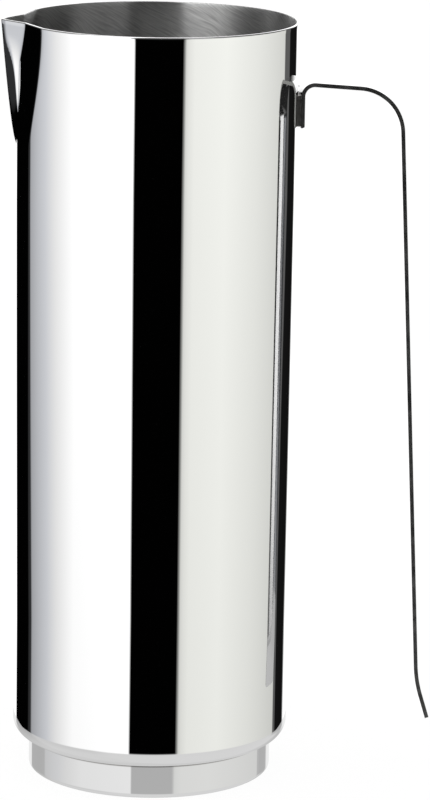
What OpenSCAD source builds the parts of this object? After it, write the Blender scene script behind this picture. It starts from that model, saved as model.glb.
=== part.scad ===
// Tall cocktail pitcher: a drawn steel cup with a pressed lip, a stepped foot
// cap and a flat strip handle that is welded on near the rim and free below.
// The lip points along -X, the handle along +X, and the table is at z = 0.

/* [Body] */
// Outer diameter of the straight wall
body_d = 90; // [70:1:120]
// Height of the rim above the table
rim_h = 247; // [200:1:320]
// Sheet thickness of the drawn cup
wall_t = 0.9; // [0.6:0.1:1.5]
// Outer radius of the bottom corner, which ends where the foot begins
corner_r = 5.3; // [3:0.1:9]

/* [Spout] */
// How far the tip of the lip stands out from the wall
spout_out = 5; // [2:0.1:7]
// Height of the pressed lip, from its lowest point to the rim
spout_h = 40; // [25:1:60]
// Half angle of the lip's foot line on the wall, at the rim, in degrees
spout_half_angle = 11.8; // [8:0.1:15]
// Turn of the two nose faces away from the lip's axis, in degrees
nose_turn = 24.5; // [18:0.1:30]
// Turn of the two flank faces away from the lip's axis at the rim, in degrees
flank_turn = 36; // [28:0.1:42]
// Depth of the flats that are pressed into the wall beside the lip
flat_depth = 0.95; // [0:0.05:1.5]
// Turn of these flats away from the lip's axis, in degrees
flat_turn = 19.9; // [16:0.1:25]
// Half angle of the part of the wall that the press changes, in degrees
spout_blend_angle = 45; // [40:1:60]

/* [Foot] */
// Height of the cup's underside above the table
foot_h = 11.2; // [7:0.1:18]
// Sheet thickness of the foot cap
foot_t = 0.9; // [0.6:0.1:1.5]
// Inner radius of the foot's bottom edge
foot_bend_r = 0.5; // [0.3:0.1:2]

/* [Handle] */
// Width of the strip
strip_w = 16.5; // [12:0.5:24]
// Thickness of the strip
strip_t = 1.3; // [1:0.1:2]
// Depth of the strip's highest point below the rim
handle_drop = 19.4; // [12:0.1:40]
// Straight length of the tab on the wall
tab_h = 10.1; // [7:0.1:16]
// Rounding of the tab's lower edge, on the face that looks away from the wall
tab_edge_r = 0.8; // [0.2:0.1:0.9]
// Inner radius of the bend above the tab
tab_bend_r = 3.1; // [2:0.1:6]
// Downward slope of the top run, in degrees
top_slope = 4.2; // [0:0.1:8]
// Clear space between the wall and the strip at the top of the grip
grip_gap = 32.8; // [28:0.1:45]
// Inner radius of the large bend
grip_bend_r = 14.3; // [10:0.1:18]
// Outward lean of the long run, in degrees
grip_lean = 2.8; // [0:0.1:5]
// Inner radius of the bend into the flared end
flare_bend_r = 40; // [20:1:60]
// Angle of the flared end from the vertical, in degrees
flare_angle = 17; // [8:0.5:30]
// Straight length of the flared end
flare_len = 8.5; // [4:0.5:16]
// Height of the free end above the table
free_end_h = 15.8; // [8:0.1:40]
// Corner radius of the free end
end_corner_r = 2.5; // [1:0.1:5]

/* [Joints] */
// Thickness of the seam between foot cap and cup
seam_t = 0.3; // [0.2:0.1:0.6]
// Depth of the seam behind the foot's outer face
seam_inset = 0.2; // [0.1:0.1:0.3]
// Gap between the middle of the tab and the wall, filled by the weld
weld_gap = 0.35; // [0.2:0.05:0.6]
// Distance of the weld's sides from the sides of the strip
weld_margin = 2; // [1:0.5:4]
// Distance of the weld's lower edge from the tab's lower edge
weld_inset = 0.2; // [0.1:0.1:2]

/* [Hidden] */
$fn = 96;
// Overrun of every cut past the face that it opens
overrun = 1;
// The thin weld follows the wall closely
weld_fn = 720;
// Steel colours of the polished sheet and of the weld metal
steel_colour = [0.78, 0.78, 0.77];
weld_colour = [0.62, 0.61, 0.60];

body_r = body_d / 2;
inner_r = body_r - wall_t;
foot_r = body_r - corner_r;
foot_edge_r = foot_bend_r + foot_t;
cap_h = foot_h - seam_t;

spout_z = rim_h - spout_h;
// Rim edge radius: the sheet's edge is fully rounded
rim_r = wall_t / 2;
// How the crest of the lip leaves the wall, below 1 for a quick start
crest_power_share = 0.7;
// Rounding of the crest, in degrees around the axis
crest_soft_angle = 0.25;
// Share of the lip's half angle that is left at its lowest point, and how it grows
low_angle_share = 0.5;
angle_power = 1.6;
// The flanks turn away more further down, by this much in degrees. The turn grows
// between these shares of the lip's height
flank_more_turn = 30;
flank_low_share = 0.42;
flank_high_share = 0.88;
// Shares of the lip's height between which the flats grow to their depth
flat_start_share = 0.01;
flat_end_share = 0.97;
// Rounding of the edge between nose and flank, and of the edges of the flats
nose_soft = 0.06;
flat_soft = 0.19;
// Rounding of the valley beside the lip at the rim and at the lowest point, and
// how it changes between them
valley_top_soft = 0.08;
valley_low_soft = 0.4;
valley_power = 2;
// Share of the lip's height over which the roundings grow from nothing
soft_start_share = 0.17;
// Steps of the lip's surface around the axis, up the wall and over the rim
around_steps = 72;
up_steps = 18;
rim_steps = 4;
// Steps lie closer together near the crest and near the lip's foot
around_power = 1.5;
up_power = 1.3;
// The lip's sheet runs on into the plain wall by this much, and is this much
// thinner on each face, so that its ends lie inside the wall
lip_lap = 1.5;
lip_inset = 0.05;
// Steps along each bend of the strip
bend_steps = 16;

tab_x = body_r + weld_gap + strip_t;
handle_top_z = rim_h - handle_drop;
tab_bend_z = handle_top_z - strip_t - tab_bend_r;
tab_z = tab_bend_z - tab_h;
tab_turn = 90 + top_slope;
flare_outer_r = flare_bend_r + strip_t;
// Centres of the strip's bends and its free end, in the side view
tab_centre = [tab_x + tab_bend_r, tab_bend_z];
grip_centre_x = body_r + grip_gap - grip_bend_r * cos(grip_lean);
top_run_x = grip_centre_x - tab_centre[0];
top_drop = (top_run_x * sin(top_slope) + grip_bend_r - tab_bend_r) / cos(top_slope);
grip_centre = [grip_centre_x, tab_bend_z - top_drop];
flare_drop = flare_outer_r * sin(flare_angle) + flare_len * cos(flare_angle);
flare_centre_z = free_end_h + flare_drop;
grip_run_z = grip_centre[1] - flare_centre_z;
flare_run_x = (grip_bend_r + flare_outer_r + grip_run_z * sin(grip_lean)) / cos(grip_lean);
flare_centre = [grip_centre_x + flare_run_x, flare_centre_z];
free_end = flare_centre + flare_outer_r * [-cos(flare_angle), -sin(flare_angle)]
    + flare_len * [sin(flare_angle), -cos(flare_angle)];
handle_reach = body_r + grip_gap + rim_h;

// Half section of a closed cup: radius, underside height, corner radius and top
module cup_half(r, z, edge_r, top) {
    translate([0, z + edge_r]) square([r, top - z - edge_r]);
    translate([0, z]) square([r - edge_r, edge_r]);
    intersection() {
        translate([r - edge_r, z + edge_r]) circle(edge_r);
        translate([0, z]) square([r, edge_r]);
    }
}

// Half section of the drawn cup, with its rounded rim edge
module body_half() {
    difference() {
        cup_half(body_r, foot_h, corner_r, rim_h - rim_r);
        cup_half(inner_r, foot_h + wall_t, corner_r - wall_t, rim_h + overrun);
    }
    translate([body_r - rim_r, rim_h - rim_r]) circle(rim_r);
}

// The larger and the smaller of two radii, with a rounding of width w where they meet
function soft_max(p, q, w) = (p + q + sqrt((p - q) * (p - q) + w * w)) / 2;
function soft_min(p, q, w) = (p + q - sqrt((p - q) * (p - q) + w * w)) / 2;

// Radius at angle b of an upright flat face that is turned by t and has radius r at angle from
function face_r(r, from, t, b) = r * cos(from - t) / cos(min(b, t) - t);

// Smooth growth from 0 to 1 between two shares of the lip's height, at share u
function growth(u, from, to) =
    let (s = min(1, max(0, (u - from) / (to - from))))
    s * s * (3 - 2 * s);

// Wall with the flats beside the lip, at angle b from the crest
function flat_wall_r(b, u) =
    let (grown = growth(u, flat_start_share, flat_end_share))
    soft_min(body_r, (body_r - flat_depth * grown) / cos(b - flat_turn), flat_soft * grown);

// Outside of the lip, without the wall: two nose faces and two flank faces
function nose_r(b, u, start) =
    let (crest_b = sqrt(b * b + crest_soft_angle * crest_soft_angle) - crest_soft_angle)
    let (half = spout_half_angle * (low_angle_share + (1 - low_angle_share) * pow(u, angle_power)))
    let (turn = flank_turn + flank_more_turn * (1 - growth(u, flank_low_share, flank_high_share)))
    let (nose = face_r(body_r + spout_out * pow(u, crest_power_share), 0, nose_turn, crest_b))
    soft_min(nose, face_r(body_r, half, turn, b), nose_soft * start);

// Shift of the wall at angle a from the crest and at share u of the lip's height
function lip_shift(a, u) =
    let (b = abs(a))
    let (start = min(1, u / soft_start_share))
    let (valley = valley_top_soft + (valley_low_soft - valley_top_soft) * pow(1 - u, valley_power))
    soft_max(flat_wall_r(b, u), nose_r(b, u, start), valley * start) - body_r;

// Radius of a face of the sheet at angle a and height z, from its radius in the plain wall
function lip_r(r, a, z) = r + lip_shift(a, max(0, z - spout_z) / spout_h);

// Points of the sheet's section at angle a: up outside, over the rim, down inside
function lip_section(a) =
    let (top = rim_h - rim_r)
    let (low = spout_z - lip_lap)
    let (heights = [low, for (i = [0:up_steps]) spout_z + (top - spout_z) * pow(i / up_steps, up_power)])
    let (edge_r = rim_r - lip_inset)
    let (edge_x = lip_r(body_r - rim_r, a, top))
    concat(
        [for (z = heights) [lip_r(body_r - lip_inset, a, z), z]],
        [for (k = [1:rim_steps - 1])
            let (turn = 180 * k / rim_steps)
            [edge_x + edge_r * cos(turn), top + edge_r * sin(turn)]],
        [for (i = [len(heights) - 1:-1:0]) [lip_r(inner_r + lip_inset, a, heights[i]), heights[i]]]
    );

// The pressed lip: the sheet's section swept around the axis, over the blend angle
module lip() {
    lap_angle = lip_lap / body_r * 180 / PI;
    inner_angles = [for (i = [0:around_steps])
        let (s = 2 * i / around_steps - 1)
        spout_blend_angle * sign(s) * pow(abs(s), around_power)];
    angles = [-spout_blend_angle - lap_angle, each inner_angles, spout_blend_angle + lap_angle];
    sections = [for (a = angles) [for (q = lip_section(a)) [-q[0] * cos(a), -q[0] * sin(a), q[1]]]];
    count = len(sections[0]);
    last = len(sections) - 1;
    points = [for (s = sections) each s];
    sides = [for (i = [0:last - 1]) for (j = [0:count - 1])
        let (k = (j + 1) % count)
        each [[i * count + j, (i + 1) * count + k, (i + 1) * count + j],
              [i * count + j, i * count + k, (i + 1) * count + k]]];
    first_end = [for (j = [count - 1:-1:0]) j];
    last_end = [for (j = [0:count - 1]) last * count + j];
    polyhedron(points, concat(sides, [first_end], [last_end]));
}

// Space of the lip in the plain round wall
module lip_gap() {
    reach = body_d;
    half = spout_blend_angle;
    translate([0, 0, spout_z])
        linear_extrude(spout_h + overrun)
            polygon([[0, 0], [-reach * cos(half), reach * sin(half)], [-reach, 0],
                     [-reach * cos(half), -reach * sin(half)]]);
}

module body_shell() {
    color(steel_colour) union() {
        difference() {
            rotate_extrude() body_half();
            lip_gap();
        }
        lip();
    }
}

// Drawn cap with a flat closed bottom, open towards the cup
module foot_cap() {
    color(steel_colour) rotate_extrude() difference() {
        cup_half(foot_r, 0, foot_edge_r, cap_h);
        cup_half(foot_r - foot_t, foot_t, foot_bend_r, cap_h + overrun);
    }
}

// Seam of weld metal on the cap's edge, set back from its face
module foot_seam() {
    color(weld_colour) translate([0, 0, cap_h]) difference() {
        cylinder(r = foot_r - seam_inset, h = seam_t);
        translate([0, 0, -overrun]) cylinder(r = foot_r - foot_t, h = seam_t + overrun + overrun);
    }
}

// Points on an arc, from one angle to another
function arc(centre, r, from, to) =
    [for (k = [0:bend_steps]) let (a = from + (to - from) * k / bend_steps) centre + r * [cos(a), sin(a)]];

// One face of the strip's side view, from the tab's bend to the free end.
// The face lies off the strip's inner face by this much of the strip's thickness.
function strip_face(off) = [
    each arc(tab_centre, tab_bend_r + off, 180, 180 - tab_turn),
    each arc(grip_centre, grip_bend_r + off, 90 - top_slope, grip_lean),
    each arc(flare_centre, flare_outer_r - off, 180 + grip_lean, 180 + flare_angle),
    free_end + off * [cos(flare_angle), sin(flare_angle)]
];

// Side view of the strip: out along its inner face and back along its outer face
module strip_side() {
    outer = strip_face(strip_t);
    tab_edge = arc([tab_x - tab_edge_r, tab_z + tab_edge_r], tab_edge_r, -90, 0);
    tab_corner = [tab_x - strip_t, tab_z];
    polygon(concat(tab_edge, strip_face(0), [for (i = [len(outer) - 1:-1:0]) outer[i]], [tab_corner]));
}

// Front view of the strip, with the rounded corners of its free end
module strip_front() {
    half = strip_w / 2;
    translate([-half, free_end_h + end_corner_r]) square([strip_w, handle_reach]);
    translate([end_corner_r - half, free_end_h]) square([strip_w - end_corner_r - end_corner_r, end_corner_r]);
    for (side = [-1, 1]) translate([side * (half - end_corner_r), free_end_h + end_corner_r])
        circle(end_corner_r);
}

module handle_strap() {
    color(steel_colour) intersection() {
        rotate([90, 0, 0]) linear_extrude(strip_w, center = true) strip_side();
        rotate([90, 0, 90]) linear_extrude(handle_reach) strip_front();
    }
}

// Weld that fills the gap between the round wall and the flat tab
module handle_weld() {
    width = strip_w - weld_margin - weld_margin;
    color(weld_colour) difference() {
        translate([inner_r, -width / 2, tab_z + weld_inset])
            cube([wall_t + weld_gap, width, tab_h - weld_inset]);
        cylinder(r = body_r, h = rim_h, $fn = weld_fn);
    }
}

body_shell();
foot_cap();
foot_seam();
handle_strap();
handle_weld();
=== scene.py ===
import math

import bmesh
import bpy
from mathutils import Matrix, Vector


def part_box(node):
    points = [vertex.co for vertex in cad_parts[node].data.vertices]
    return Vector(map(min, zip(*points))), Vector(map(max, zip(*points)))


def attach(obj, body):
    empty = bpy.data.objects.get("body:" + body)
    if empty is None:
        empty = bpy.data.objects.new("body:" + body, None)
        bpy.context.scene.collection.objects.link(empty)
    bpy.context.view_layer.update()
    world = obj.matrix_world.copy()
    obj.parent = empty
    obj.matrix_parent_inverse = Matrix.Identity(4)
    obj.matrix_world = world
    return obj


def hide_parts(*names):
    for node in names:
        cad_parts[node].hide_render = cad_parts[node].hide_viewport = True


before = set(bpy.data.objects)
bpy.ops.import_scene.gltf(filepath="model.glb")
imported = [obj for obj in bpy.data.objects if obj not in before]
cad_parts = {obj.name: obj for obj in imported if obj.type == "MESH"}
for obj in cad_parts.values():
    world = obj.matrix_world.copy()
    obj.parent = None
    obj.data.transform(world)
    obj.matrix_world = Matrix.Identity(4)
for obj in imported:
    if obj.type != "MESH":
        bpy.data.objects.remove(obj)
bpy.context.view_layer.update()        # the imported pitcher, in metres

mm = 0.001
samePoint = 0.002 * mm  # points closer than this are one
upAxis = Vector((0, 0, 1))
sideAxis = (0, -1, 0)  # turns run anticlockwise in the side view, X to the right and Z up
print("frame loaded, nodes:", ", ".join(sorted(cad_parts)))


# wire drawing in the side view, one point after the other

def lineTo(bm, tip, x, z, parts=1):
    start = tip.co.copy()
    end = Vector((x, 0, z))
    for step in range(1, parts + 1):
        tip = bmesh.ops.extrude_vert_indiv(bm, verts=[tip])["verts"][0]
        tip.co = start.lerp(end, step / parts)
    return tip


def arcTo(bm, tip, centreX, centreZ, degrees, parts):
    turned = bmesh.ops.spin(bm, geom=[tip], cent=(centreX, 0, centreZ), axis=sideAxis,
                            angle=math.radians(degrees), steps=parts)
    return [item for item in turned["geom_last"] if isinstance(item, bmesh.types.BMVert)][0]


def spinRound(bm, columns):
    bmesh.ops.spin(bm, geom=bm.verts[:] + bm.edges[:], cent=(0, 0, 0), axis=upAxis,
                   angle=math.tau, steps=columns, use_merge=True)
    bmesh.ops.remove_doubles(bm, verts=bm.verts, dist=samePoint)
    bmesh.ops.recalc_face_normals(bm, faces=bm.faces)


def unrollUv(bm):
    # one unit of the map is one metre: round the axis, and up the wall or in along the bottom
    layer = bm.loops.layers.uv.new("unrolled")
    for face in bm.faces:
        middle = face.calc_center_median()
        home = math.atan2(middle.y, middle.x)
        for loop in face.loops:
            place = loop.vert.co
            turn = math.atan2(place.y, place.x) - home
            turn -= math.tau * round(turn / math.tau)
            loop[layer].uv = ((home + turn) * wallRadius, place.z - math.hypot(place.x, place.y))


def finishPiece(name, bm, materials, node, sharpDegrees):
    mesh = bpy.data.meshes.new(name)
    bm.to_mesh(mesh)
    bm.free()
    for material in materials:
        mesh.materials.append(material)
    for polygon in mesh.polygons:
        polygon.use_smooth = True
    mesh.set_sharp_from_angle(angle=math.radians(sharpDegrees))
    piece = bpy.data.objects.new(name, mesh)
    bpy.context.scene.collection.objects.link(piece)
    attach(piece, "root")
    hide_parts(node)
    print(name, "made,", len(mesh.polygons), "faces")


# finishes

noiseLow = 0.3  # a noise seldom leaves this span
noiseHigh = 0.7


def newMaterial(name):
    material = bpy.data.materials.new(name)
    material.use_nodes = True
    tree = material.node_tree
    return material, tree.nodes, tree.links, tree.nodes["Principled BSDF"]


def stretchedNoise(nodes, links, source, size, turn, detail):
    # fine lines: a noise with marks of this size, turned by this angle
    mapping = nodes.new("ShaderNodeMapping")
    mapping.vector_type = "TEXTURE"
    mapping.inputs["Rotation"].default_value = (0, 0, math.radians(turn))
    mapping.inputs["Scale"].default_value = size
    noise = nodes.new("ShaderNodeTexNoise")
    noise.inputs["Scale"].default_value = 1
    noise.inputs["Detail"].default_value = detail
    links.new(source, mapping.inputs["Vector"])
    links.new(mapping.outputs["Vector"], noise.inputs["Vector"])
    return noise.outputs["Fac"]


def spread(nodes, links, source, low, high, fromLow=noiseLow, fromHigh=noiseHigh):
    node = nodes.new("ShaderNodeMapRange")
    node.inputs["From Min"].default_value = fromLow
    node.inputs["From Max"].default_value = fromHigh
    node.inputs["To Min"].default_value = low
    node.inputs["To Max"].default_value = high
    links.new(source, node.inputs["Value"])
    return node.outputs["Result"]


def addBump(nodes, links, shader, source, height, strength):
    bump = nodes.new("ShaderNodeBump")
    bump.inputs["Strength"].default_value = strength
    bump.inputs["Distance"].default_value = height
    links.new(source, bump.inputs["Height"])
    links.new(bump.outputs["Normal"], shader.inputs["Normal"])


polish = {
    "colour": (0.90, 0.90, 0.90, 1),
    "roughLow": 0.002,
    "roughHigh": 0.012,
    "lines": (1.1 * mm, 33 * mm, 1),  # polishing lines, upright
    "lineDetail": 3,
    "wave": 14,  # slow waves of the drawn sheet, per metre
    "waveDetail": 1,
    "waveHeight": 0.03 * mm,
    "waveStrength": 0.5,
    "cornerShade": (0.30, 0.29, 0.28, 1),  # painted shade: a dark line painted along the foot's top edge, in the corner under the shoulder
    "cornerShadeLow": 10.4 * mm,
    "cornerShadeHigh": 10.8 * mm,
}


def mirrorPolish(name, paintCornerShade):
    material, nodes, links, shader = newMaterial(name)
    shader.inputs["Metallic"].default_value = 1
    shader.inputs["Base Color"].default_value = polish["colour"]
    coords = nodes.new("ShaderNodeTexCoord")
    # painted shade: the foot's top edge, under the shoulder, is darkened in its base colour
    if paintCornerShade:
        place = nodes.new("ShaderNodeSeparateXYZ")
        ramp = nodes.new("ShaderNodeValToRGB")
        ramp.color_ramp.elements[0].color = polish["colour"]
        ramp.color_ramp.elements[1].color = polish["cornerShade"]
        links.new(coords.outputs["Object"], place.inputs["Vector"])
        height = spread(nodes, links, place.outputs["Z"], 0, 1, polish["cornerShadeLow"], polish["cornerShadeHigh"])
        links.new(height, ramp.inputs["Fac"])
        links.new(ramp.outputs["Color"], shader.inputs["Base Color"])
    lines = stretchedNoise(nodes, links, coords.outputs["UV"], polish["lines"], 0, polish["lineDetail"])
    rough = spread(nodes, links, lines, polish["roughLow"], polish["roughHigh"])
    links.new(rough, shader.inputs["Roughness"])
    waves = nodes.new("ShaderNodeTexNoise")
    waves.inputs["Scale"].default_value = polish["wave"]
    waves.inputs["Detail"].default_value = polish["waveDetail"]
    links.new(coords.outputs["Object"], waves.inputs["Vector"])
    addBump(nodes, links, shader, waves.outputs["Fac"], polish["waveHeight"], polish["waveStrength"])
    return material


satin = {
    "colourLow": (0.50, 0.50, 0.50, 1),
    "colourHigh": (0.72, 0.72, 0.71, 1),
    "colourFrom": 0.35,  # the colours lie at these levels of the noise
    "colourTo": 0.65,
    "roughLow": 0.29,
    "roughHigh": 0.39,
    "stretch": 0.95,  # the satin spreads light up and down more than sideways
    "stretchTurn": 0.25,  # in turns
    "lines": (7 * mm, 0.45 * mm, 1),
    "lineDetail": 4,
    "slant": 24,
    "lineHeight": 0.004 * mm,
    "lineStrength": 0.5,
    "bends": 45,  # the strokes are bent, this many bends in a metre
    "bendDetail": 1,
    "bendSize": 9 * mm,
}


def satinInside():
    material, nodes, links, shader = newMaterial("satinInside")
    shader.inputs["Metallic"].default_value = 1
    shader.inputs["Anisotropic"].default_value = satin["stretch"]
    shader.inputs["Anisotropic Rotation"].default_value = satin["stretchTurn"]
    around = nodes.new("ShaderNodeTangent")
    around.direction_type = "RADIAL"
    around.axis = "Z"
    links.new(around.outputs["Tangent"], shader.inputs["Tangent"])
    coords = nodes.new("ShaderNodeTexCoord")
    bends = nodes.new("ShaderNodeTexNoise")
    bends.inputs["Scale"].default_value = satin["bends"]
    bends.inputs["Detail"].default_value = satin["bendDetail"]
    bent = nodes.new("ShaderNodeVectorMath")
    bent.operation = "MULTIPLY_ADD"
    bent.inputs[1].default_value = (satin["bendSize"],) * 3
    links.new(coords.outputs["UV"], bends.inputs["Vector"])
    links.new(bends.outputs["Color"], bent.inputs[0])
    links.new(coords.outputs["UV"], bent.inputs[2])
    strokes = bent.outputs["Vector"]
    lines = stretchedNoise(nodes, links, strokes, satin["lines"], satin["slant"], satin["lineDetail"])
    ramp = nodes.new("ShaderNodeValToRGB")
    ramp.color_ramp.elements[0].position = satin["colourFrom"]
    ramp.color_ramp.elements[0].color = satin["colourLow"]
    ramp.color_ramp.elements[1].position = satin["colourTo"]
    ramp.color_ramp.elements[1].color = satin["colourHigh"]
    links.new(lines, ramp.inputs["Fac"])
    links.new(ramp.outputs["Color"], shader.inputs["Base Color"])
    rough = spread(nodes, links, lines, satin["roughLow"], satin["roughHigh"])
    links.new(rough, shader.inputs["Roughness"])
    addBump(nodes, links, shader, lines, satin["lineHeight"], satin["lineStrength"])
    return material


stripFinish = {
    "stripFace": {
        "colour": (0.76, 0.76, 0.76, 1),
        "lines": (25 * mm, 0.7 * mm, 25 * mm),  # rolling lines along the strip
        "lineDetail": 2,
        "roughLow": 0.04,
        "roughHigh": 0.11,
    },
    "stripEdge": {
        # painted shade: the cut edges get a much darker colour than the faces, as well as their rougher
        # finish
        "colour": (0.26, 0.26, 0.26, 1),
        "lines": (3.3 * mm, 17 * mm, 3.3 * mm),  # soft marks left by the shears
        "lineDetail": 1,
        "roughLow": 0.18,
        "roughHigh": 0.26,
    },
}


def stripMetal(name):
    look = stripFinish[name]
    material, nodes, links, shader = newMaterial(name)
    shader.inputs["Metallic"].default_value = 1
    shader.inputs["Base Color"].default_value = look["colour"]
    coords = nodes.new("ShaderNodeTexCoord")
    lines = stretchedNoise(nodes, links, coords.outputs["Object"], look["lines"], 0, look["lineDetail"])
    rough = spread(nodes, links, lines, look["roughLow"], look["roughHigh"])
    links.new(rough, shader.inputs["Roughness"])
    return material


weldFinish = {
    # the weld's dark colour is partly its own and partly painted shade for the gap between the tab and the
    # wall
    "colourLow": (0.13, 0.125, 0.12, 1),
    "colourHigh": (0.32, 0.31, 0.30, 1),
    "grain": (1.1 * mm, 1.1 * mm, 1.1 * mm),
    "grainDetail": 4,
    "grainHeight": 0.05 * mm,
    "grainStrength": 0.8,
    "roughLow": 0.35,
    "roughHigh": 0.6,
}


def weldMetal():
    material, nodes, links, shader = newMaterial("weldMetal")
    shader.inputs["Metallic"].default_value = 1
    place = nodes.new("ShaderNodeTexCoord").outputs["Object"]
    grain = stretchedNoise(nodes, links, place, weldFinish["grain"], 0, weldFinish["grainDetail"])
    ramp = nodes.new("ShaderNodeValToRGB")
    ramp.color_ramp.elements[0].color = weldFinish["colourLow"]
    ramp.color_ramp.elements[1].color = weldFinish["colourHigh"]
    links.new(grain, ramp.inputs["Fac"])
    links.new(ramp.outputs["Color"], shader.inputs["Base Color"])
    rough = spread(nodes, links, grain, weldFinish["roughLow"], weldFinish["roughHigh"])
    links.new(rough, shader.inputs["Roughness"])
    addBump(nodes, links, shader, grain, weldFinish["grainHeight"], weldFinish["grainStrength"])
    return material


mirrorSteel = mirrorPolish("mirrorPolish", False)
footSteel = mirrorPolish("footPolish", True)
satinSteel = satinInside()
stripSteel = stripMetal("stripFace")
edgeSteel = stripMetal("stripEdge")
weldSteel = weldMetal()
print("finishes made")


# cup with its pressed lip

bodyLow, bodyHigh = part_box("body_shell")
wallRadius = bodyHigh.x
rimHeight = bodyHigh.z
cup = {
    "wall": 0.9 * mm,
    "cornerRadius": 5.3 * mm,
    "columns": 720,
    "undersideParts": 2,
    "cornerParts": 14,
    "wallParts": 8,
    "lipParts": 32,
    "rimParts": 8,
    "floorParts": 6,
    "support": 0.4 * mm,  # short row that keeps the straight wall straight
    "sharp": 40,  # edges that turn by more degrees than this stay sharp
    "floorFacing": 0.5,  # faces of the inside look up, or towards the axis, at least this much
    "insideFacing": 0.4,
    "lipHeight": 40 * mm,
    "lipAngle": 45,  # the press changes the wall up to this angle from the crest
    "lipOut": 4.95 * mm,
    "crestPower": 0.7,
    "crestSoft": 0.25,
    "noseTurn": 24.5,
    "noseSoft": 0.06 * mm,
    "flankTurn": 36,
    "flankMore": 30,  # the flanks turn away more further down, between these shares of the height
    "flankLow": 0.42,
    "flankHigh": 0.88,
    "flankFoot": 11.8,  # angle of the foot line at the rim, and its share at the lowest point
    "footShare": 0.5,
    "footPower": 1.6,
    "flatTurn": 19.9,
    "flatDepth": 0.95 * mm,
    "flatSoft": 0.19 * mm,
    "flatStart": 0.01,
    "flatEnd": 0.97,
    "valleyTop": 0.08 * mm,
    "valleyLow": 0.4 * mm,
    "valleyPower": 2,
    "softStart": 0.17,
}


def cupProfile(bm):
    wall = cup["wall"]
    outerBend = cup["cornerRadius"]
    innerBend = outerBend - wall
    rimRadius = wall / 2
    rimTop = rimHeight - rimRadius
    lipFoot = rimHeight - cup["lipHeight"]
    bendX = wallRadius - outerBend
    bendZ = bodyLow.z + outerBend
    inside = wallRadius - wall
    tip = bm.verts.new((0, 0, bodyLow.z))
    tip = lineTo(bm, tip, bendX, bodyLow.z, cup["undersideParts"])
    tip = arcTo(bm, tip, bendX, bendZ, 90, cup["cornerParts"])
    tip = lineTo(bm, tip, wallRadius, bendZ + cup["support"])
    tip = lineTo(bm, tip, wallRadius, lipFoot, cup["wallParts"])
    tip = lineTo(bm, tip, wallRadius, rimTop, cup["lipParts"])
    tip = arcTo(bm, tip, wallRadius - rimRadius, rimTop, 180, cup["rimParts"])
    tip = lineTo(bm, tip, inside, lipFoot, cup["lipParts"])
    tip = lineTo(bm, tip, inside, bendZ + cup["support"], cup["wallParts"])
    tip = lineTo(bm, tip, inside, bendZ)
    tip = arcTo(bm, tip, bendX, bendZ, -90, cup["cornerParts"])
    lineTo(bm, tip, 0, bendZ - innerBend, cup["floorParts"])


def softMax(first, second, width):
    return (first + second + math.hypot(first - second, width)) / 2


def softMin(first, second, width):
    return (first + second - math.hypot(first - second, width)) / 2


def faceRadius(radius, fromAngle, turn, angle):
    # an upright flat face, turned away from the lip's axis
    near = math.radians(min(angle, turn) - turn)
    return radius * math.cos(math.radians(fromAngle - turn)) / math.cos(near)


def growth(share, start, end):
    # from 0 at the start to 1 at the end, gently at both
    part = min(1, max(0, (share - start) / (end - start)))
    return part * part * (3 - 2 * part)


def lipPush(angle, share):
    # how far the lip's faces stand out from the round wall, at this share of its height
    angle = abs(angle)
    begin = min(1, share / cup["softStart"])
    grown = growth(share, cup["flatStart"], cup["flatEnd"])
    flat = (wallRadius - cup["flatDepth"] * grown) / math.cos(math.radians(angle - cup["flatTurn"]))
    wall = softMin(wallRadius, flat, cup["flatSoft"] * grown)
    fromCrest = math.hypot(angle, cup["crestSoft"]) - cup["crestSoft"]
    crest = wallRadius + cup["lipOut"] * share ** cup["crestPower"]
    nose = faceRadius(crest, 0, cup["noseTurn"], fromCrest)
    footAngle = cup["flankFoot"] * (cup["footShare"] + (1 - cup["footShare"]) * share ** cup["footPower"])
    lowTurn = cup["flankMore"] * (1 - growth(share, cup["flankLow"], cup["flankHigh"]))
    flank = faceRadius(wallRadius, footAngle, cup["flankTurn"] + lowTurn, angle)
    lip = softMin(nose, flank, cup["noseSoft"] * begin)
    deeper = (cup["valleyLow"] - cup["valleyTop"]) * (1 - share) ** cup["valleyPower"]
    return softMax(wall, lip, (cup["valleyTop"] + deeper) * begin) - wallRadius


def crowdColumns(bm):
    # the columns stand closer together at the lip
    for vert in bm.verts:
        angle = math.atan2(vert.co.y, -vert.co.x)
        vert.co = Matrix.Rotation(angle - angle * abs(angle) / math.pi, 3, "Z") @ vert.co


def pressLip(bm):
    lipFoot = rimHeight - cup["lipHeight"]
    rimTop = rimHeight - cup["wall"] / 2
    for vert in bm.verts:
        share = (min(vert.co.z, rimTop) - lipFoot) / cup["lipHeight"]
        angle = math.degrees(math.atan2(vert.co.y, -vert.co.x))
        if share > 0 and abs(angle) < cup["lipAngle"]:
            outward = Vector((vert.co.x, vert.co.y, 0)).normalized()
            vert.co += outward * lipPush(angle, share)


def isInside(face):
    middle = face.calc_center_median()
    outward = Vector((middle.x, middle.y, 0)).normalized()
    floorPart = face.normal.z > cup["floorFacing"] and middle.z < bodyLow.z + cup["cornerRadius"]
    return floorPart or face.normal.dot(outward) < -cup["insideFacing"]


def makeCup():
    bm = bmesh.new()
    cupProfile(bm)
    spinRound(bm, cup["columns"])
    crowdColumns(bm)
    unrollUv(bm)
    for face in bm.faces:
        face.material_index = int(isInside(face))
    pressLip(bm)
    bm.normal_update()
    finishPiece("cupShell", bm, [mirrorSteel, satinSteel], "body_shell", cup["sharp"])


makeCup()


# foot cap

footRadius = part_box("foot_cap")[1].x
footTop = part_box("foot_cap")[1].z
foot = {
    "sheet": 0.9 * mm,
    "bend": 0.5 * mm,
    "bendParts": 8,
    "bottomParts": 2,
    "columns": 480,
    "support": 0.3 * mm,
    "sharp": 40,
}


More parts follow.
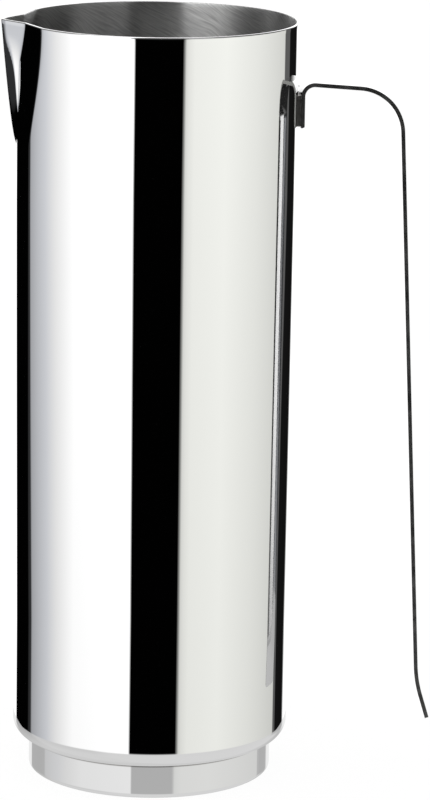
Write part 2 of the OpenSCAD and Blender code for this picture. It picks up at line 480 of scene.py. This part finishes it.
def makeFoot():
    sheet = foot["sheet"]
    bendX = footRadius - sheet - foot["bend"]
    bendZ = sheet + foot["bend"]
    bm = bmesh.new()
    tip = bm.verts.new((0, 0, 0))
    tip = lineTo(bm, tip, bendX - foot["support"], 0, foot["bottomParts"])
    tip = lineTo(bm, tip, bendX, 0)
    tip = arcTo(bm, tip, bendX, bendZ, 90, foot["bendParts"])
    tip = lineTo(bm, tip, footRadius, bendZ + foot["support"])
    tip = lineTo(bm, tip, footRadius, footTop)
    tip = lineTo(bm, tip, footRadius - sheet, footTop)
    tip = lineTo(bm, tip, footRadius - sheet, bendZ)
    tip = arcTo(bm, tip, bendX, bendZ, -90, foot["bendParts"])
    lineTo(bm, tip, 0, sheet, foot["bottomParts"])
    spinRound(bm, foot["columns"])
    unrollUv(bm)
    finishPiece("footCap", bm, [footSteel], "foot_cap", foot["sharp"])


makeFoot()


# strip handle

stripLow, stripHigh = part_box("handle_strap")
strip = {
    "thick": 1.3 * mm,
    "tabHeight": 10.1 * mm,
    "tabBend": 3.1 * mm,
    "tabParts": 24,
    "topSlope": math.radians(4.2),
    "gap": 32.8 * mm,
    "gripBend": 14.3 * mm,
    "gripParts": 28,
    "lean": math.radians(2.8),
    "flareBend": 40 * mm,
    "flareParts": 12,
    "flare": math.radians(17),
    "flareLength": 8.5 * mm,
    "endCorner": 2.5 * mm,
    "endParts": 10,
    "tabEdge": 0.8 * mm,
    "tabEdgeParts": 6,
    "edgeRound": 0.05 * mm,
    "edgeParts": 2,
    "edgeTurn": math.radians(60),  # edges that turn more than this are rounded
    "roundProfile": 0.5,
    "edgeFacing": 0.3,  # faces that look sideways this much have the cut edge's finish and its painted shade
    "support": 0.5 * mm,
    "near": 0.01 * mm,
    "sharp": 12,
}


def straightTo(bm, tip, x, z):
    # a short row at both ends keeps the long face flat
    start = tip.co.copy()
    end = Vector((x, 0, z))
    near = strip["support"] / (end - start).length
    for share in (near, 1 - near, 1):
        place = start.lerp(end, share)
        tip = lineTo(bm, tip, place.x, place.z)
    return tip


def stripPath(bm):
    # the strip's outer face, from the tab's lower edge to the free end
    thick = strip["thick"]
    slope = strip["topSlope"]
    lean = strip["lean"]
    flare = strip["flare"]
    bend = strip["flareBend"]
    tabX = stripLow.x + thick + strip["tabBend"]
    tabZ = stripHigh.z - thick - strip["tabBend"]
    gripX = wallRadius + strip["gap"] - strip["gripBend"] * math.cos(lean)
    topRun = gripX - tabX
    drop = (topRun * math.sin(slope) + strip["gripBend"] - strip["tabBend"]) / math.cos(slope)
    gripZ = tabZ - drop
    flareRadius = bend + thick
    flareZ = stripLow.z + flareRadius * math.sin(flare) + strip["flareLength"] * math.cos(flare)
    gripRun = gripZ - flareZ
    flareX = gripX + (strip["gripBend"] + flareRadius + gripRun * math.sin(lean)) / math.cos(lean)
    gripRadius = strip["gripBend"] + thick
    tip = bm.verts.new((stripLow.x, 0, tabZ - strip["tabHeight"]))
    tip = straightTo(bm, tip, stripLow.x, tabZ)
    tip = arcTo(bm, tip, tabX, tabZ, -90 - math.degrees(slope), strip["tabParts"])
    tip = straightTo(bm, tip, gripX + gripRadius * math.sin(slope), gripZ + gripRadius * math.cos(slope))
    tip = arcTo(bm, tip, gripX, gripZ, math.degrees(slope + lean) - 90, strip["gripParts"])
    tip = straightTo(bm, tip, flareX - bend * math.cos(lean), flareZ - bend * math.sin(lean))
    tip = arcTo(bm, tip, flareX, flareZ, math.degrees(flare - lean), strip["flareParts"])
    endX = tip.co.x + strip["flareLength"] * math.sin(flare)
    endZ = tip.co.z - strip["flareLength"] * math.cos(flare)
    return straightTo(bm, tip, endX, endZ)


def isAt(vert, x, z):
    return abs(vert.co.x - x) + abs(vert.co.z - z) < strip["near"]


def roundOff(bm, geom, kind, size, parts):
    bmesh.ops.bevel(bm, geom=geom, offset=size, affect=kind, segments=parts,
                    profile=strip["roundProfile"], material=-1)


def makeStrip():
    width = stripHigh.y - stripLow.y
    bm = bmesh.new()
    freeEnd = stripPath(bm)
    pulled = bmesh.ops.extrude_edge_only(bm, edges=bm.edges[:])["geom"]
    pulledVerts = [item for item in pulled if isinstance(item, bmesh.types.BMVert)]
    bmesh.ops.translate(bm, verts=bm.verts, vec=(0, -width / 2, 0))
    bmesh.ops.translate(bm, verts=pulledVerts, vec=(0, width, 0))
    bmesh.ops.recalc_face_normals(bm, faces=bm.faces)
    endPlace = freeEnd.co.copy()
    corners = [v for v in bm.verts if isAt(v, endPlace.x, endPlace.z)]
    roundOff(bm, corners, "VERTICES", strip["endCorner"], strip["endParts"])
    bm.normal_update()
    top = max(bm.faces, key=lambda face: face.calc_center_median().z)
    if top.normal.z < 0:
        bmesh.ops.reverse_faces(bm, faces=bm.faces)
    bmesh.ops.solidify(bm, geom=bm.faces[:], thickness=strip["thick"])
    bmesh.ops.recalc_face_normals(bm, faces=bm.faces)
    tabFace = stripLow.x + strip["thick"]
    tabEnd = stripHigh.z - strip["thick"] - strip["tabBend"] - strip["tabHeight"]
    tabEdges = [e for e in bm.edges if all(isAt(v, tabFace, tabEnd) for v in e.verts)]
    roundOff(bm, tabEdges, "EDGES", strip["tabEdge"], strip["tabEdgeParts"])
    edges = [e for e in bm.edges if e.calc_face_angle(0) > strip["edgeTurn"]]
    roundOff(bm, edges, "EDGES", strip["edgeRound"], strip["edgeParts"])
    bm.normal_update()
    for face in bm.faces:
        # sideways faces get the cut edge's material, with its painted shade
        face.material_index = int(abs(face.normal.y) > strip["edgeFacing"])
    finishPiece("handleStrip", bm, [stripSteel, edgeSteel], "handle_strap", strip["sharp"])


makeStrip()

# the welds get the dark weld metal, which also paints the shade in the gap under the tab
for node in ("foot_seam", "handle_weld"):
    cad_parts[node].data.materials.clear()
    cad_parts[node].data.materials.append(weldSteel)
print("welds finished")


# studio: pale floor, soft light, dark flags and white panels that the polished steel mirrors

studio = {
    "turn": 5,  # the camera stands this many degrees towards the lip
    "plain": (1, 1, 1),
    "cool": (0.97, 0.99, 1.04),
    "warm": (1, 1.008, 0.962),
    "panels": [  # bearing from the camera, to the right, in degrees, level there and its tint
        (-180, 1.36, "plain"), (-158.5, 1.36, "plain"), (-157.5, 0.0005, "plain"), (-128, 0.0005, "plain"),
        (-127, 0.03, "cool"), (-123, 0.035, "cool"), (-122.2, 0.42, "cool"), (-110, 0.58, "cool"),
        (-100, 0.70, "cool"), (-88, 0.90, "plain"), (-69, 1.18, "plain"), (-18, 1.30, "plain"),
        (-17.4, 0.0004, "plain"), (22.3, 0.0004, "plain"), (22.8, 0.72, "warm"), (26, 0.86, "warm"),
        (31, 0.95, "warm"), (58, 1.0, "warm"), (90, 0.88, "warm"), (126, 0.71, "warm"), (127, 0.70, "warm"),
        (127.3, 0.05, "plain"), (127.8, 0.05, "plain"), (128, 0.11, "plain"), (132.5, 0.12, "plain"),
        (133.5, 0.008, "plain"), (153, 0.006, "plain"), (157, 1.36, "plain"), (180, 1.36, "plain"),
    ],
    "lean": [  # how far the panels lean over, in turns for each unit of height
        (-180, 0.35), (-155, 0.35), (-133, 0.05), (-129, 0.12), (-126, 0.16), (-122, 0.22), (-110, 0.22),
        (-60, 0.05), (-17, 0.045), (25, 0.03), (60, 0), (130, 0), (134, -0.25), (157, -0.15), (180, 0),
    ],
    "leanBase": 1,  # added in the ramp, which holds no values below zero
    "leanHeight": -0.218,  # the height at which they stand at the bearings above
    "leanLow": -0.27,
    "leanHigh": -0.172,
    "lowLevel": 0.90,  # the panels are weaker near the table
    "dimLow": -0.30,
    "dimHigh": -0.12,
    "ground": [  # for rays that run down, pale in front and dark behind
        (-180, 0.02), (-126, 0.02), (-112, 0.48), (-50, 0.48), (-35, 0.72), (138, 0.72), (150, 0.02),
        (180, 0.02),
    ],
    "groundLow": -0.40,
    "groundHigh": -0.32,
    "sky": [  # the soft boxes above, which light the inside of the cup
        (-180, 1.4), (-150, 1.4), (-140, 0.10), (-126, 0.10), (-108, 0.27), (-80, 0.32), (-74, 0.50),
        (-66, 1.10), (-56, 1.60), (-23, 1.70), (-21, 0.05), (23, 0.05), (28, 0.46), (45, 0.42), (54, 0.23),
        (90, 0.14), (105, 0.08), (140, 0.10), (150, 1.4), (180, 1.4),
    ],
    "skyLow": 0.02,
    "skyHigh": 0.08,
    "tableRadius": 0.083,
    "tableDrop": 0.1 * mm,
    "tableSteep": {"glow": 0.66, "gloss": (0.08, 0.08, 0.08, 1)},  # looked at from above
    "tableFlat": {"glow": 0.46, "gloss": (0.34, 0.34, 0.34, 1)},  # looked at along its face
    "tableTurn": (0.3, 0.7),
    "floorGlow": 0.95,
    "floorShade": (0.06, 0.06, 0.06, 1),
    "floorRadius": 30,
    "floorDrop": 0.2 * mm,
    "discParts": 96,
}


def bearingRamp(nodes, stops):
    ramp = nodes.new("ShaderNodeValToRGB")
    elements = ramp.color_ramp.elements
    for index, (bearing, level, *tint) in enumerate(stops):
        position = 0.5 + bearing / 360
        element = elements[index] if index < 2 else elements.new(position)  # a new ramp has two stops
        element.position = position
        colour = studio[tint[0]] if tint else studio["plain"]
        element.color = tuple(level * part for part in colour) + (1,)
    return ramp


def showMirrored(nodes, links, output, seen, mirrored):
    # mirrored rays get a shader of their own
    pick = nodes.new("ShaderNodeMixShader")
    path = nodes.new("ShaderNodeLightPath")
    links.new(path.outputs["Is Glossy Ray"], pick.inputs["Fac"])
    links.new(seen, pick.inputs[1])
    links.new(mirrored, pick.inputs[2])
    links.new(pick.outputs["Shader"], nodes[output].inputs["Surface"])


def makeWorld():
    world = bpy.data.worlds.new("studio")
    bpy.context.scene.world = world
    world.use_nodes = True
    world.cycles.sampling_method = "NONE"
    nodes = world.node_tree.nodes
    links = world.node_tree.links
    coords = nodes.new("ShaderNodeTexCoord")
    mapping = nodes.new("ShaderNodeMapping")
    mapping.inputs["Rotation"].default_value = (0, 0, math.radians(90 + studio["turn"]))
    around = nodes.new("ShaderNodeTexGradient")
    around.gradient_type = "RADIAL"
    split = nodes.new("ShaderNodeSeparateXYZ")
    links.new(coords.outputs["Generated"], mapping.inputs["Vector"])
    links.new(mapping.outputs["Vector"], around.inputs["Vector"])
    links.new(coords.outputs["Generated"], split.inputs["Vector"])
    bearing = around.outputs["Fac"]
    rise = split.outputs["Z"]

    # the panels lean: their bearing shifts with the height of the ray
    base = studio["leanBase"]
    leanRamp = bearingRamp(nodes, [(stop, base + value) for stop, value in studio["lean"]])
    links.new(bearing, leanRamp.inputs["Fac"])
    lean = nodes.new("ShaderNodeMath")
    lean.operation = "SUBTRACT"
    lean.inputs[1].default_value = base
    links.new(leanRamp.outputs["Color"], lean.inputs[0])
    low = studio["leanLow"]
    high = studio["leanHigh"]
    zero = studio["leanHeight"]
    height = spread(nodes, links, rise, low - zero, high - zero, low, high)
    shifted = nodes.new("ShaderNodeMath")
    shifted.operation = "MULTIPLY_ADD"
    links.new(lean.outputs["Value"], shifted.inputs[0])
    links.new(height, shifted.inputs[1])
    links.new(bearing, shifted.inputs[2])
    panels = bearingRamp(nodes, studio["panels"])
    links.new(shifted.outputs["Value"], panels.inputs["Fac"])
    sky = bearingRamp(nodes, studio["sky"])
    links.new(bearing, sky.inputs["Fac"])
    ground = bearingRamp(nodes, studio["ground"])
    links.new(bearing, ground.inputs["Fac"])

    # ground, panels and sky lie one above the other
    dim = spread(nodes, links, rise, studio["lowLevel"], 1, studio["dimLow"], studio["dimHigh"])
    panelLight = nodes.new("ShaderNodeBackground")
    groundLight = nodes.new("ShaderNodeBackground")
    skyLight = nodes.new("ShaderNodeBackground")
    links.new(panels.outputs["Color"], panelLight.inputs["Color"])
    links.new(dim, panelLight.inputs["Strength"])
    links.new(ground.outputs["Color"], groundLight.inputs["Color"])
    links.new(sky.outputs["Color"], skyLight.inputs["Color"])
    lower = nodes.new("ShaderNodeMixShader")
    overGround = spread(nodes, links, rise, 0, 1, studio["groundLow"], studio["groundHigh"])
    links.new(overGround, lower.inputs["Fac"])
    links.new(groundLight.outputs["Background"], lower.inputs[1])
    links.new(panelLight.outputs["Background"], lower.inputs[2])
    mirrored = nodes.new("ShaderNodeMixShader")
    overPanels = spread(nodes, links, rise, 0, 1, studio["skyLow"], studio["skyHigh"])
    links.new(overPanels, mirrored.inputs["Fac"])
    links.new(lower.outputs["Shader"], mirrored.inputs[1])
    links.new(skyLight.outputs["Background"], mirrored.inputs[2])

    # everything but the mirrored rays sees plain white
    plain = nodes["Background"]
    plain.inputs["Color"].default_value = (1, 1, 1, 1)
    showMirrored(nodes, links, "World Output", plain.outputs["Background"], mirrored.outputs["Shader"])


def addShaders(nodes, links, first, second):
    both = nodes.new("ShaderNodeAddShader")
    links.new(first, both.inputs[0])
    links.new(second, both.inputs[1])
    return both.outputs["Shader"]


def floorMaterial():
    material, nodes, links, shader = newMaterial("paleFloor")
    nodes.remove(shader)
    glow = nodes.new("ShaderNodeEmission")
    glow.inputs["Strength"].default_value = studio["floorGlow"]
    shade = nodes.new("ShaderNodeBsdfDiffuse")
    shade.inputs["Color"].default_value = studio["floorShade"]
    both = addShaders(nodes, links, glow.outputs["Emission"], shade.outputs["BSDF"])
    clear = nodes.new("ShaderNodeBsdfTransparent")
    showMirrored(nodes, links, "Material Output", both, clear.outputs["BSDF"])
    return material


def glowAndGloss(nodes, links, look):
    glow = nodes.new("ShaderNodeEmission")
    glow.inputs["Strength"].default_value = look["glow"]
    gloss = nodes.new("ShaderNodeBsdfTransparent")  # the panels stand alike above and below the table
    gloss.inputs["Color"].default_value = look["gloss"]
    return addShaders(nodes, links, glow.outputs["Emission"], gloss.outputs["BSDF"])


def tableMaterial():
    # the glossy patch round the foot, which only the steel mirrors
    material, nodes, links, shader = newMaterial("tablePatch")
    nodes.remove(shader)
    facing = nodes.new("ShaderNodeLayerWeight").outputs["Facing"]
    low, high = studio["tableTurn"]
    table = nodes.new("ShaderNodeMixShader")
    links.new(spread(nodes, links, facing, 0, 1, low, high), table.inputs["Fac"])
    links.new(glowAndGloss(nodes, links, studio["tableSteep"]), table.inputs[1])
    links.new(glowAndGloss(nodes, links, studio["tableFlat"]), table.inputs[2])
    clear = nodes.new("ShaderNodeBsdfTransparent")
    showMirrored(nodes, links, "Material Output", clear.outputs["BSDF"], table.outputs["Shader"])
    return material


def makeDisc(name, radius, drop, material):
    bm = bmesh.new()
    bmesh.ops.create_circle(bm, cap_ends=True, segments=studio["discParts"], radius=radius)
    bmesh.ops.translate(bm, verts=bm.verts, vec=(0, 0, -drop))
    mesh = bpy.data.meshes.new(name)
    bm.to_mesh(mesh)
    bm.free()
    mesh.materials.append(material)
    disc = bpy.data.objects.new(name, mesh)
    bpy.context.scene.collection.objects.link(disc)


makeWorld()
makeDisc("floor", studio["floorRadius"], studio["floorDrop"], floorMaterial())
makeDisc("table", studio["tableRadius"], studio["tableDrop"], tableMaterial())
print("studio made")


# camera at the photograph's place

view = {
    "distance": 1.3255,
    "height": 0.42024,
    "pitch": 12.641,
    "yaw": 0.865,
    "roll": 0.913,
    "focalPixels": 4184.07,  # for an image 800 pixels tall
    "imageHeight": 800,
    "sensor": 36,
    "farEnd": 100,
}


def makeCamera():
    camera = bpy.data.cameras.new("camera")
    camera.sensor_width = view["sensor"]
    camera.lens = view["focalPixels"] / view["imageHeight"] * view["sensor"]
    camera.clip_end = view["farEnd"]
    turn = math.radians(studio["turn"])
    place = Vector((-math.sin(turn), -math.cos(turn), 0)) * view["distance"]
    place.z = view["height"]
    heading = Matrix.Rotation(-turn - math.radians(view["yaw"]), 4, "Z")
    tilt = Matrix.Rotation(math.radians(90 - view["pitch"]), 4, "X")
    roll = Matrix.Rotation(math.radians(view["roll"]), 4, "Z")
    holder = bpy.data.objects.new("camera", camera)
    holder.matrix_world = Matrix.Translation(place) @ heading @ tilt @ roll
    bpy.context.scene.collection.objects.link(holder)
    bpy.context.scene.camera = holder


makeCamera()
bpy.context.scene.view_settings.view_transform = "Standard"
print("camera set")
